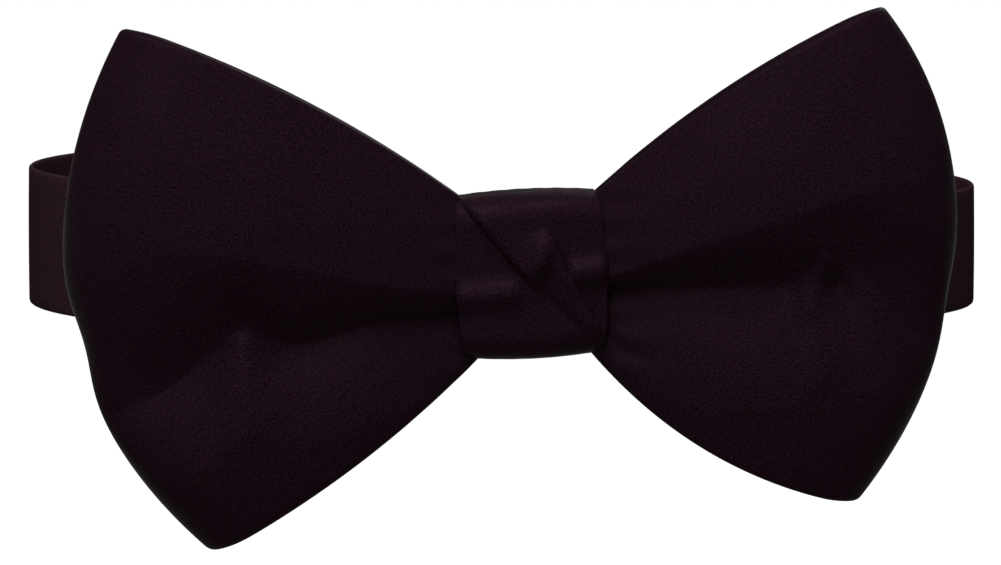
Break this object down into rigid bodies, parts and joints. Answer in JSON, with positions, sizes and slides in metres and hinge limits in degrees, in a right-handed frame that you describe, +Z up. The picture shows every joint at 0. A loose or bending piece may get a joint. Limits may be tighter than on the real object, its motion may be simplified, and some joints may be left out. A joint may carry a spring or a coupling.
{
  "type": "bow tie",
  "caption": "Pre-tied satin bow tie with a wrapped knot on an adjustable neck band, with a slide adjuster and a hook-and-eye clasp at the nape.",
  "frame": {"origin": "centre of the neck opening, half-way up the short half of the band", "axes": "+Z up along the neck, the bow faces -Y, +X to the right as seen from the front"},
  "size_m": [0.1338, 0.1519, 0.0721],
  "materials": {
    "bow_satin": "near-black satin with a faint plum cast",
    "band_satin": "near-black satin, folded and pressed",
    "interlining": "off-white woven interlining",
    "sewing_thread": "black polyester thread",
    "nickel_plate": "nickel-plated stamped metal"
  },
  "bodies": {
    "neck_band": {"band_centre": "band_satin", "centre_lining": "interlining"},
    "bow": {"knot_wrap": "bow_satin", "knot_lining": "interlining", "knot_stitches": "sewing_thread", "bow_waist": "bow_satin", "waist_thread": "sewing_thread"},
    "wing_left": {"left_wing": "bow_satin", "left_wing_lining": "interlining"},
    "wing_right": {"right_wing": "bow_satin", "right_wing_lining": "interlining"},
    "strap_short": {"short_band": "band_satin", "short_lining": "interlining", "hook_fold": "band_satin", "hook_tack": "sewing_thread"},
    "clasp_hook": {"hook": "nickel_plate"},
    "strap_long": {"long_band": "band_satin", "long_lining": "interlining"},
    "adjuster": {"slide_adjuster": "nickel_plate", "outer_strap": "band_satin", "return_strap": "band_satin"},
    "eye_end": {"eye_fold": "band_satin"},
    "clasp_eye": {"eye_plate": "nickel_plate"}
  },
  "joints": [
    {"name": "bow_tilt", "type": "hinge", "parent": "neck_band", "child": "bow", "pos_m": [0, -0.0685, 0], "axis": [0, -1, 0], "range_deg": [-7.2, 1.8]},
    {"name": "left_wing_flex", "type": "hinge", "parent": "bow", "child": "wing_left", "pos_m": [-0.009, -0.0734, 0], "axis": [0, 0, 1], "range_deg": [-8, 8], "stiffness_Nm_per_rad": 0.01},
    {"name": "right_wing_flex", "type": "hinge", "parent": "bow", "child": "wing_right", "pos_m": [0.009, -0.0734, 0], "axis": [0, 0, -1], "range_deg": [-8, 8], "stiffness_Nm_per_rad": 0.01},
    {"name": "short_band_swing", "type": "hinge", "parent": "neck_band", "child": "strap_short", "pos_m": [-0.02808, -0.06023, 0], "axis": [0, 0, 1], "range_deg": [0, 35]},
    {"name": "hook_pivot", "type": "hinge", "parent": "strap_short", "child": "clasp_hook", "pos_m": [-0.02315, 0.06362, 0], "axis": [0, 0, 1], "range_deg": [-5, 60]},
    {"name": "long_band_swing", "type": "hinge", "parent": "neck_band", "child": "strap_long", "pos_m": [0.02808, -0.06023, 0], "axis": [0, 0, -1], "range_deg": [0, 35]},
    {"name": "slider_adjust", "type": "hinge", "parent": "strap_long", "child": "adjuster", "pos_m": [0, 0, 0], "axis": [0, 0, -1], "range_deg": [0, 60]},
    {"name": "eye_end_travel", "type": "hinge", "parent": "adjuster", "child": "eye_end", "pos_m": [0, 0, 0], "axis": [0, 0, 1], "range_deg": [0, 30]},
    {"name": "eye_pivot", "type": "hinge", "parent": "eye_end", "child": "clasp_eye", "pos_m": [0.03235, 0.06084, -0.00125], "axis": [0, 0, -1], "range_deg": [-5, 60]}
  ],
  "couplings": [
    {"joint": "eye_end_travel", "follows": "slider_adjust", "ratio": 0.5}
  ]
}
